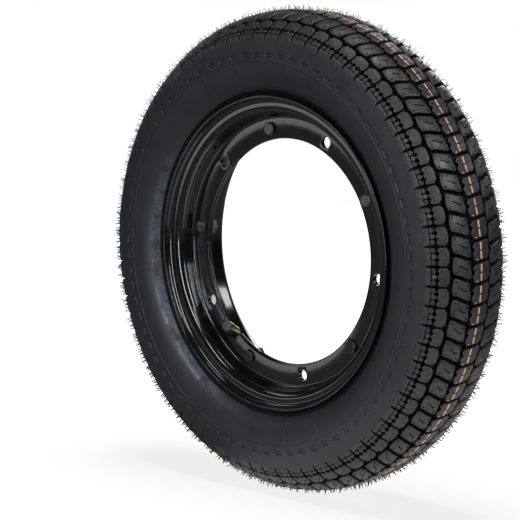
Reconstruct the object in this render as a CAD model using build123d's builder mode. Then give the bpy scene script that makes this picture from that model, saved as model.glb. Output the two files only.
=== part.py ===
from build123d import *
from math import atan2, cos, degrees, radians, sin, sqrt
import os

os.makedirs("parts", exist_ok=True)

# A scooter wheel: a block-tread tyre and its inner tube on a divided rim of two pressed
# steel halves, bolted together, with a bent tube valve. The axle line is the Y axis and the
# middle plane of the tyre is y = 0. The face with the bolt heads looks towards -Y.
# All sizes are in millimetres. Angles round the wheel run from +X towards +Z.

# Rim flange and its fasteners
sheet = 2.3
centre_hole_radius = 101.4
outer_hole_relief = 0.8
bolt_line = 9.8
mating_offset = 11.0
bend_radius = 3.2
bend_margin = 1.9
hub_hole_count = 5
hub_hole_diameter = 10.5
hub_hole_angle = 64.6
bolt_angle = 100.6
bolt_diameter = 8.0
bolt_clearance = 0.2
head_diameter = 12.0
head_height = 3.0
head_round = 1.2
washer_diameter = 12.6
washer_thickness = 2.0
washer_slit = 1.2
nut_flats = 13.0
nut_height = 6.5
nut_thread_gap = 0.1
thread_proud = 2.0
thread_chamfer = 0.8

# Rim section
rim_width = 53.4
seat_rise = 2.0
heel_radius = 5.5
flange_wall = 1.5
curl_radius = 7.0
lip_straight = 2.0
step_offset = 16.0
step_run = 3.0
step_fall = 0.6
step_round = 3.0

# Tyre section
section_height = 89.4
tyre_width = 91.4
widest_height = 41.4
crown_radius = 51.0
tread_half_arc = 49.6
crown_thickness = 13.0
sidewall_thickness = 5.5
bead_fit = 0.3
bead_width = 15.4
bead_height = 6.4
bead_slope = 2.0
bead_taper_height = 25.4
clinch_angle = 65.0
clinch_flare = 7.8

# Tread: distances across it are measured along the crown from the middle
pitch_count = 74
tread_phase = 2.7
groove_depth = 6.5
main_groove_arc = 11.1
main_groove_width = 3.4
second_groove_arc = 30.6
second_groove_width = 2.4
shoulder_groove_arc = 43.5
shoulder_groove_width = 3.2
cross_depth = 5.0
centre_cross_width = 3.8
centre_cross_slant = 10.0
second_cross_width = 3.5
second_cross_slant = 13.8
outer_cross_width = 2.9
second_row_phase = 0.25
outer_row_phase = -0.15
far_side_shift = -0.38

# Inner tube
tube_gap = 0.3
tube_wall = 2.0

# Valve
valve_angle = 226.8
valve_offset = 1.0
valve_corner_height = 10.4
valve_bend_radius = 7.0
valve_hole_gap = 2.0
stem_diameter = 7.7
stem_bore = 5.2
stem_tilt = 28.0
stem_leg = 22.0
stem_hole_gap = 0.2
foot_diameter = 13.0
foot_thickness = 1.5
foot_gap = 0.3
notch_width = 21.0
notch_depth = 11.6
cap_length = 10.0
cap_wall = 1.1
cap_end = 1.8
cap_gap = 0.05
cap_round = 2.2
seal_thickness = 1.2
seal_gap = 0.1
core_length = 9.0
core_fit = 0.05
core_drop = 1.0
core_floor = 1.6
core_recess = 3.8
pin_diameter = 1.2
pin_gap = 0.1
pin_recess = 0.3
collar_drop = 1.0
collar_thickness = 0.8
cup_diameter = 3.4
cup_length = 1.6
spring_wire = 0.35
spring_gap = 0.1
spring_turns = 4

# Radii that follow from the sizes above, built outwards from the centre hole
bolt_circle = centre_hole_radius + bolt_line
flange_flat_radius = bolt_circle + head_diameter / 2 + bend_margin
base_radius = flange_flat_radius + bend_radius + sheet
bead_seat_radius = base_radius + seat_rise
rim_radius = bead_seat_radius + heel_radius + flange_wall + curl_radius
tyre_radius = bead_seat_radius + section_height
widest_radius = bead_seat_radius + widest_height

# Places along the axle line
half_rim = rim_width / 2
lip_end = half_rim + curl_radius + lip_straight
mating_y = -mating_offset

# The flange's mating plane, seen from the bolt heads' side, and the planes where fasteners seat
mating_plane = Plane(origin=(0, mating_y, 0), x_dir=(1, 0, 0), z_dir=(0, -1, 0))
head_plane = mating_plane.offset(sheet)
washer_plane = mating_plane.offset(-sheet)
nut_plane = washer_plane.offset(-washer_thickness)

# The valve's radial plane: its local x is the radius and its local y is the axle line
valve_radial = Vector(cos(radians(valve_angle)), 0, sin(radians(valve_angle)))
valve_plane = Plane(origin=(0, 0, 0), x_dir=valve_radial, z_dir=valve_radial.cross(Vector(0, 1, 0)))

# Tyre
crown_centre = tyre_radius - crown_radius
cavity_radius = tyre_width / 2 - sidewall_thickness
cavity_centre = tyre_radius - crown_thickness - cavity_radius
toe_offset = half_rim - bead_fit - bead_width

# Each row of blocks is flat across and tangent to the crown, so that two rows meet in a groove
second_row_arc = 2 * main_groove_arc
third_row_arc = 2 * second_groove_arc - second_row_arc
shoulder_row_arc = 2 * shoulder_groove_arc - third_row_arc


def row_point(arc, row_arc):
    """The point of the section where the flat of the row tangent at row_arc lies above this arc."""
    angle = arc / crown_radius
    reach = crown_radius / cos((arc - row_arc) / crown_radius)
    return (crown_centre + reach * cos(angle), reach * sin(angle))


def cavity_outline():
    """The closed outline of the room inside the tyre, down to the bead seats."""
    taper_radius = bead_seat_radius + bead_taper_height
    taper_half = sqrt(cavity_radius**2 - (taper_radius - cavity_centre) ** 2)
    taper_angle = degrees(atan2(taper_half, taper_radius - cavity_centre))
    bead_point = (bead_seat_radius + bead_height, toe_offset + bead_slope)
    toe_point = (bead_seat_radius, toe_offset)
    with BuildLine() as outline:
        CenterArc((cavity_centre, 0), cavity_radius, 0, taper_angle)
        Polyline((taper_radius, taper_half), bead_point, toe_point, (bead_seat_radius, 0))
        mirror(about=Plane.XZ)
    return outline.line


def cross_cutter(arc, phase, length, width, slant):
    """A straight cutter across one row of blocks, turned from +X by its phase as a share of the pitch."""
    angle = arc / crown_radius
    outward = (cos(angle), sin(angle), 0)
    across = (-sin(angle), cos(angle), 0)
    top = (crown_centre + crown_radius * cos(angle), crown_radius * sin(angle), 0)
    turn = Location((0, 0, 0), (0, -(tread_phase + phase * 360 / pitch_count), 0))
    with BuildPart() as cutter:
        with BuildSketch(turn * Plane(origin=top, x_dir=across, z_dir=outward).offset(-cross_depth)):
            Rectangle(length, width, rotation=slant)
        extrude(amount=2 * cross_depth)
    return cutter.part


# The cutters of one pitch: the middle row, then the slanted row and the outer rows on each side
second_length = second_groove_arc - main_groove_arc
outer_length = tread_half_arc - second_groove_arc
outer_arc = second_groove_arc + outer_length / 2
cross_cutters = [cross_cutter(0, 0, second_row_arc, centre_cross_width, centre_cross_slant)]
for side, shift in ((-1, 0), (1, far_side_shift)):
    second_cutter = cross_cutter(
        side * second_row_arc,
        second_row_phase + shift,
        second_length,
        second_cross_width,
        side * second_cross_slant,
    )
    outer_cutter = cross_cutter(side * outer_arc, outer_row_phase + shift, outer_length, outer_cross_width, 0)
    cross_cutters += [second_cutter, outer_cutter]

with BuildPart() as tyre:
    heel_centre = (bead_seat_radius + heel_radius, half_rim - heel_radius)
    curl_centre = (rim_radius - curl_radius, half_rim + curl_radius)
    widest = (widest_radius, tyre_width / 2)
    tread_edge = row_point(tread_half_arc, shoulder_row_arc)
    with BuildSketch():
        with BuildLine():
            Line((bead_seat_radius + bead_fit, 0), (bead_seat_radius + bead_fit, heel_centre[1]))
            CenterArc(heel_centre, heel_radius - bead_fit, 180, -90)
            Line((heel_centre[0], half_rim - bead_fit), (curl_centre[0], half_rim - bead_fit))
            clinch = CenterArc(curl_centre, curl_radius + bead_fit, -90, clinch_angle)
            flare = PolarLine(clinch @ 1, clinch_flare, clinch_angle)
            TangentArc(widest, flare @ 1, tangent=(-1, 0))
            TangentArc(widest, tread_edge, tangent=(1, 0))
            Polyline(
                tread_edge,
                row_point(shoulder_groove_arc, third_row_arc),
                row_point(second_groove_arc, second_row_arc),
                row_point(main_groove_arc, 0),
                (tyre_radius, 0),
            )
            mirror(about=Plane.XZ)
        make_face()
        for arc, width in (
            (main_groove_arc, main_groove_width),
            (second_groove_arc, second_groove_width),
            (shoulder_groove_arc, shoulder_groove_width),
        ):
            for side_arc in (-arc, arc):
                with Locations((crown_centre, 0)):
                    with PolarLocations(crown_radius, 1, start_angle=degrees(side_arc / crown_radius)):
                        Rectangle(2 * groove_depth, width, mode=Mode.SUBTRACT)
        make_face(cavity_outline(), mode=Mode.SUBTRACT)
    revolve(axis=Axis.Y)
    with Locations(*[Location((0, 0, 0), (0, step * 360 / pitch_count, 0)) for step in range(pitch_count)]):
        add(cross_cutters, mode=Mode.SUBTRACT, clean=False)
tyre.part.label = "tyre"
export_step(tyre.part, "parts/tyre.step")

# Inner tube: a sealed ring that fills the tyre, with one hole for the valve stem
tube_floor_radius = bead_seat_radius + tube_gap + tube_wall
valve_y = -valve_offset
with BuildPart() as inner_tube:
    with BuildSketch():
        make_face(cavity_outline())
        offset(amount=-tube_gap, kind=Kind.INTERSECTION, mode=Mode.REPLACE)
        offset(amount=-tube_wall, kind=Kind.INTERSECTION, mode=Mode.SUBTRACT)
    revolve(axis=Axis.Y)
    hole_start = valve_radial * base_radius + Vector(0, valve_y, 0)
    with BuildSketch(Plane(origin=hole_start, z_dir=valve_radial)):
        Circle(stem_diameter / 2 + stem_hole_gap)
    extrude(amount=tube_floor_radius - base_radius + tube_wall, mode=Mode.SUBTRACT)
inner_tube.part.label = "inner_tube"
export_step(inner_tube.part, "parts/inner_tube.step")


def flange_holes():
    """The holes that both rim halves have: hub studs, joining bolts and the notch for the valve."""
    notch_centre = centre_hole_radius + notch_depth - notch_width
    with BuildSketch(mating_plane) as holes:
        with PolarLocations(bolt_circle, hub_hole_count, start_angle=hub_hole_angle):
            Circle(hub_hole_diameter / 2)
        with PolarLocations(bolt_circle, hub_hole_count, start_angle=bolt_angle):
            Circle(bolt_diameter / 2 + bolt_clearance)
        with PolarLocations(notch_centre, 1, start_angle=valve_angle):
            SlotCenterToCenter(notch_width, notch_width)
    return holes.sketch


# Visible rim half: the shallow one, drawn along the side that the tyre and tube touch
with BuildPart() as outer_rim_half:
    with BuildSketch():
        with BuildLine():
            FilletPolyline(
                (centre_hole_radius + outer_hole_relief, mating_y),
                (base_radius, mating_y),
                (bead_seat_radius, -half_rim),
                (rim_radius, -half_rim),
                (rim_radius, -lip_end),
                radius=[bend_radius + sheet, heel_radius, curl_radius],
            )
            offset(amount=sheet, side=Side.RIGHT)
        make_face()
    revolve(axis=Axis.Y)
    extrude(flange_holes(), amount=sheet, mode=Mode.SUBTRACT)
outer_rim_half.part.label = "outer_rim_half"
export_step(outer_rim_half.part, "parts/outer_rim_half.step")

# Hidden rim half: the deep one, with a step up to its bead seat and the hole for the valve
step_start = mating_y + step_offset
with BuildPart() as inner_rim_half:
    with BuildSketch():
        with BuildLine():
            FilletPolyline(
                (centre_hole_radius, mating_y),
                (base_radius, mating_y),
                (base_radius, step_start),
                (bead_seat_radius - step_fall, step_start + step_run),
                (bead_seat_radius, half_rim),
                (rim_radius, half_rim),
                (rim_radius, lip_end),
                radius=[bend_radius + sheet, step_round, step_round, heel_radius, curl_radius],
            )
            offset(amount=sheet, side=Side.LEFT)
        make_face()
    revolve(axis=Axis.Y)
    extrude(flange_holes(), amount=-sheet, mode=Mode.SUBTRACT)
    hole_start = valve_radial * flange_flat_radius + Vector(0, valve_y, 0)
    with BuildSketch(Plane(origin=hole_start, z_dir=valve_radial)):
        Circle(stem_diameter / 2 + valve_hole_gap)
    extrude(amount=rim_radius - flange_flat_radius, mode=Mode.SUBTRACT)
inner_rim_half.part.label = "inner_rim_half"
export_step(inner_rim_half.part, "parts/inner_rim_half.step")

# Joining bolts: low round heads against the visible half
shank_length = 2 * sheet + washer_thickness + nut_height + thread_proud
with BuildPart() as rim_bolts:
    with BuildSketch(head_plane):
        with PolarLocations(bolt_circle, hub_hole_count, start_angle=bolt_angle):
            Circle(head_diameter / 2)
    extrude(amount=head_height)
    fillet(rim_bolts.faces().sort_by(Axis.Y)[:hub_hole_count].edges(), head_round)
    with BuildSketch(head_plane):
        with PolarLocations(bolt_circle, hub_hole_count, start_angle=bolt_angle):
            Circle(bolt_diameter / 2)
    extrude(amount=-shank_length)
    chamfer(rim_bolts.faces().sort_by(Axis.Y)[-hub_hole_count:].edges(), thread_chamfer)
rim_bolts.part.label = "rim_bolts"
export_step(rim_bolts.part, "parts/rim_bolts.step")

# Split spring washers
washer_bore = bolt_diameter / 2 + bolt_clearance
with BuildPart() as spring_washers:
    with BuildSketch(washer_plane):
        with PolarLocations(bolt_circle, hub_hole_count, start_angle=bolt_angle):
            Circle(washer_diameter / 2)
            Circle(washer_bore, mode=Mode.SUBTRACT)
            with Locations((0, washer_diameter / 2)):
                Rectangle(washer_slit, washer_diameter, mode=Mode.SUBTRACT)
    extrude(amount=-washer_thickness)
spring_washers.part.label = "spring_washers"
export_step(spring_washers.part, "parts/spring_washers.step")

# Hexagon nuts
with BuildPart() as rim_nuts:
    with BuildSketch(nut_plane):
        with PolarLocations(bolt_circle, hub_hole_count, start_angle=bolt_angle):
            RegularPolygon(nut_flats / 2, 6, major_radius=False)
            Circle(bolt_diameter / 2 + nut_thread_gap, mode=Mode.SUBTRACT)
    extrude(amount=-nut_height)
rim_nuts.part.label = "rim_nuts"
export_step(rim_nuts.part, "parts/rim_nuts.step")

# Bent valve stem: down from a foot inside the tube, then out through the notch in the flange
corner_radius = centre_hole_radius + valve_corner_height
foot_radius = tube_floor_radius + foot_gap + foot_thickness
leg_radial = -sin(radians(stem_tilt))
leg_axial = -cos(radians(stem_tilt))
stem_end = (corner_radius + stem_leg * leg_radial, valve_y + stem_leg * leg_axial, 0)
with BuildPart() as valve_stem:
    with BuildLine(valve_plane) as stem_path:
        FilletPolyline((foot_radius, valve_y), (corner_radius, valve_y), stem_end, radius=valve_bend_radius)
    stem_start = Plane(origin=stem_path.line @ 0, z_dir=stem_path.line % 0)
    with BuildSketch(stem_start):
        Circle(stem_diameter / 2)
        Circle(stem_bore / 2, mode=Mode.SUBTRACT)
    sweep()
    with BuildSketch(stem_start):
        Circle(foot_diameter / 2)
        Circle(stem_diameter / 2, mode=Mode.SUBTRACT)
    extrude(amount=foot_thickness)
valve_stem.part.label = "valve_stem"
export_step(valve_stem.part, "parts/valve_stem.step")

# The plane of the stem's end: its z runs out along the stem, the way the cap leaves
stem_plane = Plane(
    origin=valve_plane.from_local_coords(stem_end),
    x_dir=valve_plane.z_dir,
    z_dir=valve_plane.from_local_coords((leg_radial, leg_axial, 0)),
)

# Valve cap and the seal inside it
cap_bore = stem_diameter / 2 + cap_gap
seal_room = seal_thickness + 2 * seal_gap
with BuildPart() as valve_cap:
    with BuildSketch(stem_plane.offset(seal_room + cap_end)):
        Circle(cap_bore + cap_wall)
    extrude(amount=-cap_length)
    fillet(valve_cap.faces().sort_by(Axis(stem_plane.origin, stem_plane.z_dir))[-1].edges(), cap_round)
    with BuildSketch(stem_plane.offset(seal_room)):
        Circle(cap_bore)
    extrude(amount=-cap_length, mode=Mode.SUBTRACT)
valve_cap.part.label = "valve_cap"
export_step(valve_cap.part, "parts/valve_cap.step")

with BuildPart() as valve_cap_seal:
    with BuildSketch(stem_plane.offset(seal_gap)):
        Circle(cap_bore - seal_gap)
    extrude(amount=seal_thickness)
valve_cap_seal.part.label = "valve_cap_seal"
export_step(valve_cap_seal.part, "parts/valve_cap_seal.step")

# Valve core: a cartridge in the stem, open at the top for the spring and closed below round the pin
core_plane = stem_plane.offset(-core_drop)
with BuildPart() as valve_core:
    with BuildSketch(core_plane):
        Circle(stem_bore / 2 - core_fit)
        Circle(pin_diameter / 2 + pin_gap, mode=Mode.SUBTRACT)
    extrude(amount=-core_length)
    with BuildSketch(core_plane):
        Circle(core_recess / 2)
    extrude(amount=core_floor - core_length, mode=Mode.SUBTRACT)
valve_core.part.label = "valve_core"
export_step(valve_core.part, "parts/valve_core.step")

# Valve pin, turned in one piece: rod, collar that the spring lifts, and the cup that seals the core
pin_length = core_drop + core_length + pin_gap - pin_recess
with BuildPart() as valve_pin:
    with BuildSketch(stem_plane.offset(-pin_recess)):
        Circle(pin_diameter / 2)
    extrude(amount=-pin_length)
    with BuildSketch(core_plane.offset(-collar_drop)):
        Circle(core_recess / 2 - pin_gap)
    extrude(amount=-collar_thickness)
    with BuildSketch(core_plane.offset(-core_length - pin_gap)):
        Circle(cup_diameter / 2)
    extrude(amount=-cup_length)
valve_pin.part.label = "valve_pin"
export_step(valve_pin.part, "parts/valve_pin.step")

# Return spring under the pin's collar
spring_seat = core_plane.offset(core_floor + spring_gap + spring_wire / 2 - core_length)
spring_height = core_length - core_floor - collar_drop - collar_thickness - 2 * spring_gap - spring_wire
spring_radius = pin_diameter / 2 + 2 * spring_gap + spring_wire / 2
spring_pitch = spring_height / spring_turns
with BuildPart() as valve_spring:
    with BuildLine() as coil:
        Helix(spring_pitch, spring_height, spring_radius, spring_seat.origin, spring_seat.z_dir)
    with BuildSketch(Plane(origin=coil.line @ 0, z_dir=coil.line % 0)):
        Circle(spring_wire / 2)
    sweep(is_frenet=True)
valve_spring.part.label = "valve_spring"
export_step(valve_spring.part, "parts/valve_spring.step")
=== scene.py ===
import math
import random

import bmesh
import bpy
import numpy as np
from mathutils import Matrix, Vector
from mathutils.geometry import delaunay_2d_cdt


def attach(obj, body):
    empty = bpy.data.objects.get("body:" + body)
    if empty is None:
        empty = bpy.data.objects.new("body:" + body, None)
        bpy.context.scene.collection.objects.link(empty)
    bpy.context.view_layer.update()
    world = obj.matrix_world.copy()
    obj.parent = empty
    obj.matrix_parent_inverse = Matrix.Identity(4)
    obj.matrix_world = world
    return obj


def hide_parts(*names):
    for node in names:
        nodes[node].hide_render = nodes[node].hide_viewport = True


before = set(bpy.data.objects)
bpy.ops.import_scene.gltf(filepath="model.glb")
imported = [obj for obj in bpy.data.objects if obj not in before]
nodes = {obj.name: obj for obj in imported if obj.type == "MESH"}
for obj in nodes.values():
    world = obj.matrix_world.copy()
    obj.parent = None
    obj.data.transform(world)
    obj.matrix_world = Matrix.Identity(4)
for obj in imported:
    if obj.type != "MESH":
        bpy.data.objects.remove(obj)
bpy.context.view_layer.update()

# Sizes are in millimetres, in the CAD frame: the axle line is Y and the visible face looks towards -Y.
MM = 0.001
WHEEL = "wheel"

# Tyre section
crown_radius = 51.0
tyre_radius = 216.0
crown_centre = tyre_radius - crown_radius
tread_half = 49.6
widest_radius = 168.0
half_width = 45.7
flare_end = (145.6, 34.2)
clinch_centre = (133.6, 33.7)
clinch_radius = 7.3
heel_centre = (132.1, 21.2)
heel_radius = 5.2
bead_line = 126.9
toe_offset = 11.0
bead_rise, bead_slope = 6.1, 2.0
cavity_centre = 162.8
cavity_radius = 40.2
taper_radius = 152.0
pocket_top_radius, pocket_foot_radius, ring_radius = 178.7, 174.5, 171.4

# Tread
pitches = 74
pitch = 2 * math.pi * tyre_radius / pitches
tread_phase = math.radians(2.7)
far_shift = -0.383 * pitch
notch_end = 53.4
shoulder_phase = -0.135
swell = 4.8
swell_start, swell_full, swell_hold, swell_end = 6.0, 36.0, 42.0, 62.0
# Depth of the floor between the blocks, as (distance from the middle, depth)
floor_depths = (
    (0.0, 5.0),
    (9.0, 5.0),
    (10.0, 6.5),
    (12.4, 6.5),
    (13.6, 5.0),
    (28.2, 5.0),
    (29.4, 6.2),
    (31.6, 6.2),
    (33.2, 3.8),
    (39.4, 3.8),
    (41.0, 6.2),
    (44.8, 6.2),
    (47.4, 4.2),
    (49.6, 2.9),
    (notch_end, 0.0),
)

# Rim section
sheet = 2.3
centre_hole = 101.4
near_hole = 102.2
mating_y = -11.0
bolt_circle = 111.2
base_radius = 124.6
seat_radius = 126.6
rim_radius = 140.6
half_rim = 26.7
lip_end = 35.7
seat_rise = 0.6
step_start = 5.0
step_end = 8.0
hub_angle = 64.6
bolt_angle = 100.6
valve_angle = 226.8
rim_hole_count = 5
hub_hole_radius, bolt_hole_radius, valve_hole_radius = 5.25, 4.2, 5.85
valve_hole_y = -1.0
valve_cut_start, valve_cut_end = 118.0, 132.0
valve_notch_depth, valve_notch_width, valve_notch_opening = 11.6, 21.0, 14
punch_margin, broken_edge = 4, 0.35
bend, heel_bend, lip_bend, step_bend = 5.5, 5.5, 7.0, 3.0
arc_step = 9.0


# Materials


def node_material(name):
    """A new node material, its node tree and its Principled shader."""
    material = bpy.data.materials.new(name)
    material.use_nodes = True
    tree = material.node_tree
    return material, tree, tree.nodes["Principled BSDF"]


def noise(tree, scale, detail=4.0, roughness=0.5):
    """A noise texture in object space, in metres."""
    texture = tree.nodes.new("ShaderNodeTexNoise")
    texture.inputs["Scale"].default_value = scale
    texture.inputs["Detail"].default_value = detail
    texture.inputs["Roughness"].default_value = roughness
    place = tree.nodes.new("ShaderNodeTexCoord").outputs["Object"]
    tree.links.new(place, texture.inputs["Vector"])
    return texture.outputs["Fac"]


def ramp(tree, value, stops):
    """A colour ramp over value, from (position, colour) stops."""
    node = tree.nodes.new("ShaderNodeValToRGB")
    elements = node.color_ramp.elements
    while len(elements) < len(stops):
        elements.new(0.5)
    for element, (position, colour) in zip(elements, stops):
        element.position = position
        element.color = (*colour, 1.0)
    tree.links.new(value, node.inputs["Fac"])
    return node.outputs["Color"]


def span(tree, value, low, high, source=(0.3, 0.7)):
    """Value remapped from the source range to low..high."""
    node = tree.nodes.new("ShaderNodeMapRange")
    node.inputs["From Min"].default_value = source[0]
    node.inputs["From Max"].default_value = source[1]
    node.inputs["To Min"].default_value = low
    node.inputs["To Max"].default_value = high
    tree.links.new(value, node.inputs["Value"])
    return node.outputs["Result"]


def bump(tree, shader, height, strength, distance):
    """Fine relief from a height value."""
    node = tree.nodes.new("ShaderNodeBump")
    node.inputs["Strength"].default_value = strength
    node.inputs["Distance"].default_value = distance
    tree.links.new(height, node.inputs["Height"])
    tree.links.new(node.outputs["Normal"], shader.inputs["Normal"])


def rubber_material(name, dark, light, rough_low, rough_high, specular=0.5):
    """Moulded rubber: blotches of wax bloom, a fine grain and a soft uneven sheen."""
    material, tree, shader = node_material(name)
    blotch = noise(tree, 38.0, 5.0, 0.6)
    tree.links.new(ramp(tree, blotch, [(0.3, dark), (0.72, light)]), shader.inputs["Base Color"])
    tree.links.new(span(tree, noise(tree, 95.0, 3.0), rough_low, rough_high), shader.inputs["Roughness"])
    bump(tree, shader, noise(tree, 1500.0, 3.0), 0.12, 0.0004)
    shader.inputs["Specular IOR Level"].default_value = specular
    return material


def paint_material(name, colour, roughness):
    """Gloss black paint with a slight orange peel."""
    material, tree, shader = node_material(name)
    lighter = tuple(c * 1.6 for c in colour)
    tint = ramp(tree, noise(tree, 60.0), [(0.35, colour), (0.7, lighter)])
    sheen = span(tree, noise(tree, 140.0, 3.0), roughness, roughness * 1.6)
    tree.links.new(tint, shader.inputs["Base Color"])
    tree.links.new(sheen, shader.inputs["Roughness"])
    bump(tree, shader, noise(tree, 260.0, 2.0), 0.012, 0.0004)
    shader.inputs["Coat Weight"].default_value = 0.5
    shader.inputs["Coat Roughness"].default_value = 0.05
    return material


def metal_material(name, colour, roughness, grain):
    """Bare metal with small stains."""
    material, tree, shader = node_material(name)
    shaded = tuple(c * 0.62 for c in colour)
    tint = ramp(tree, noise(tree, grain, 6.0), [(0.35, shaded), (0.62, colour)])
    sheen = span(tree, noise(tree, grain * 2), roughness, roughness * 1.7)
    tree.links.new(tint, shader.inputs["Base Color"])
    tree.links.new(sheen, shader.inputs["Roughness"])
    bump(tree, shader, noise(tree, grain * 4), 0.08, 0.0002)
    shader.inputs["Metallic"].default_value = 1.0
    return material


def calculate(tree, operation, first, second):
    """The two values put together by the operation."""
    node = tree.nodes.new("ShaderNodeMath")
    node.operation = operation
    tree.links.new(first, node.inputs[0])
    tree.links.new(second, node.inputs[1])
    return node.outputs["Value"]


def vector_value(tree, operation, vector, other=None):
    """The value of a vector operation on vector and, where given, a fixed other vector."""
    node = tree.nodes.new("ShaderNodeVectorMath")
    node.operation = operation
    tree.links.new(vector, node.inputs[0])
    if other is not None:
        node.inputs[1].default_value = other
    return node.outputs["Vector" if operation == "MULTIPLY" else "Value"]


def radial_mask(tree, low, high, fade):
    """One between two distances from the axle line, in metres, fading out on each side."""
    place = tree.nodes.new("ShaderNodeTexCoord").outputs["Object"]
    length = vector_value(tree, "LENGTH", vector_value(tree, "MULTIPLY", place, (1.0, 0.0, 1.0)))
    inner = span(tree, length, 0.0, 1.0, (low - fade, low))
    outer = span(tree, length, 1.0, 0.0, (high, high + fade))
    return calculate(tree, "MULTIPLY", inner, outer)


def sector_mask(tree, angle, low, high):
    """One towards this angle round the axle line, fading from high to low along it, in metres."""
    place = tree.nodes.new("ShaderNodeTexCoord").outputs["Object"]
    along = vector_value(tree, "DOT_PRODUCT", place, (math.cos(angle), 0.0, math.sin(angle)))
    return span(tree, along, 0.0, 1.0, (low, high))


def mixed(tree, share, first, second):
    """A value that goes from the first value to the second as share goes from 0 to 1."""
    node = tree.nodes.new("ShaderNodeMix")
    tree.links.new(share, node.inputs["Factor"])
    tree.links.new(first, node.inputs["A"])
    tree.links.new(second, node.inputs["B"])
    return node.outputs["Result"]


def mixed_colour(tree, share, first, second):
    """A colour that goes from the first colour to the second as share goes from 0 to 1."""
    node = tree.nodes.new("ShaderNodeMix")
    node.data_type = "RGBA"
    tree.links.new(share, node.inputs[0])
    tree.links.new(first, node.inputs[6])
    tree.links.new(second, node.inputs[7])
    return node.outputs[2]


def side_material():
    """Sidewall rubber: dull, with shinier bluish bloom along part of the rim, lightened there by a
    painted sheen.
    """
    material, tree, shader = node_material("side_rubber")
    blotch = noise(tree, 38.0, 5.0, 0.6)
    plain = ramp(tree, blotch, [(0.3, (0.012, 0.0135, 0.0165)), (0.72, (0.020, 0.022, 0.027))])
    # Painted sheen: the bloom patches by the rim are painted a lighter bluish colour where the front
    # strip lamp's reflection falls.
    bloom = noise(tree, 120.0, 6.0, 0.7)
    painted_sheen = ramp(tree, bloom, [(0.35, (0.036, 0.043, 0.056)), (0.65, (0.085, 0.10, 0.126))])
    patches = span(tree, noise(tree, 55.0, 6.0, 0.7), 0.0, 1.0, (0.42, 0.52))
    sheen_band = calculate(tree, "MULTIPLY", radial_mask(tree, 0.138, 0.1505, 0.003), patches)
    # The sector keeps the painted sheen to the lower left of the side.
    sheen_band = calculate(tree, "MULTIPLY", sheen_band, sector_mask(tree, math.radians(202.0), 0.08, 0.12))
    tree.links.new(mixed_colour(tree, sheen_band, plain, painted_sheen), shader.inputs["Base Color"])
    dull = span(tree, noise(tree, 95.0, 3.0), 0.42, 0.56)
    shiny = span(tree, noise(tree, 300.0, 4.0), 0.22, 0.34)
    tree.links.new(mixed(tree, sheen_band, dull, shiny), shader.inputs["Roughness"])
    bump(tree, shader, noise(tree, 1500.0, 3.0), 0.12, 0.0004)
    return material


def tread_material():
    """Tread rubber: charcoal with a grain, and here and there a patch of olive storage stain."""
    material, tree, shader = node_material("tread_rubber")
    blotch = noise(tree, 70.0, 6.0, 0.65)
    plain = ramp(tree, blotch, [(0.3, (0.017, 0.018, 0.020)), (0.72, (0.034, 0.035, 0.037))])
    olive = noise(tree, 260.0, 5.0)
    stained = ramp(tree, olive, [(0.35, (0.035, 0.035, 0.024)), (0.65, (0.075, 0.075, 0.05))])
    stains = span(tree, noise(tree, 17.0, 2.0), 0.0, 0.8, (0.655, 0.70))
    tree.links.new(mixed_colour(tree, stains, plain, stained), shader.inputs["Base Color"])
    tree.links.new(span(tree, noise(tree, 180.0, 4.0), 0.36, 0.58), shader.inputs["Roughness"])
    bump(tree, shader, noise(tree, 900.0, 5.0, 0.65), 0.22, 0.0005)
    return material


tread_rubber = tread_material()
side_rubber = side_material()
# Painted shade: near-black dull rubber for groove floors, block walls, slits, dimples and the bead faces
# by the rim's lip.
shade_rubber = rubber_material(
    "shade_rubber", (0.005, 0.005, 0.006), (0.010, 0.010, 0.011), 0.6, 0.75, specular=0.12
)
tube_rubber = rubber_material("tube_rubber", (0.018, 0.018, 0.018), (0.03, 0.03, 0.03), 0.6, 0.75)
stripe_paint = rubber_material("stripe_paint", (0.62, 0.27, 0.13), (0.80, 0.46, 0.30), 0.5, 0.65)
rim_paint = paint_material("rim_paint", (0.004, 0.004, 0.0045), 0.10)
bolt_paint = paint_material("bolt_paint", (0.007, 0.007, 0.008), 0.2)
cap_plastic = paint_material("cap_plastic", (0.03, 0.03, 0.032), 0.24)
spring_steel = metal_material("spring_steel", (0.42, 0.42, 0.43), 0.34, 300.0)
valve_brass = metal_material("valve_brass", (0.72, 0.50, 0.20), 0.2, 260.0)


# Mesh helpers


def smooth(mesh, sharp):
    """Smooth shading, apart from edges over the sharp angle."""
    mesh.polygons.foreach_set("use_smooth", np.ones(len(mesh.polygons), bool))
    mesh.set_sharp_from_angle(angle=math.radians(sharp))


def face_outwards(obj):
    """Turns the faces of closed meshes outwards."""
    mending = bmesh.new()
    mending.from_mesh(obj.data)
    bmesh.ops.recalc_face_normals(mending, faces=mending.faces)
    mending.to_mesh(obj.data)
    mending.free()


def mesh_object(name, verts, faces, materials, indices=None, sharp=30.0):
    """An object from millimetre points and faces, smooth apart from edges over the sharp angle."""
    mesh = bpy.data.meshes.new(name)
    mesh.from_pydata((np.asarray(verts, float) * MM).tolist(), [], [list(map(int, f)) for f in faces])
    for material in materials:
        mesh.materials.append(material)
    if indices is not None:
        mesh.polygons.foreach_set("material_index", np.asarray(indices, np.int32))
    mesh.update()
    smooth(mesh, sharp)
    obj = bpy.data.objects.new(name, mesh)
    bpy.context.scene.collection.objects.link(obj)
    return obj


def revolve_faces(columns, points):
    """Quads of a closed profile turned all the way round, for vertices ordered column by column."""
    column = np.repeat(np.arange(columns), points)
    point = np.tile(np.arange(points), columns)
    after = (point + 1) % points
    beside = (column + 1) % columns
    near, far = column * points, beside * points
    return np.stack([near + point, far + point, far + after, near + after], 1)


def arc_points(centre, radius, start, end, count):
    """Points of an arc in the (r, y) plane, from one angle to another in degrees."""
    angles = np.radians(np.linspace(start, end, count))
    return [(centre[0] + radius * math.cos(a), centre[1] + radius * math.sin(a)) for a in angles]


# Tyre surface: distance s runs from the middle of the tread, over its edge and down the side

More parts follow.
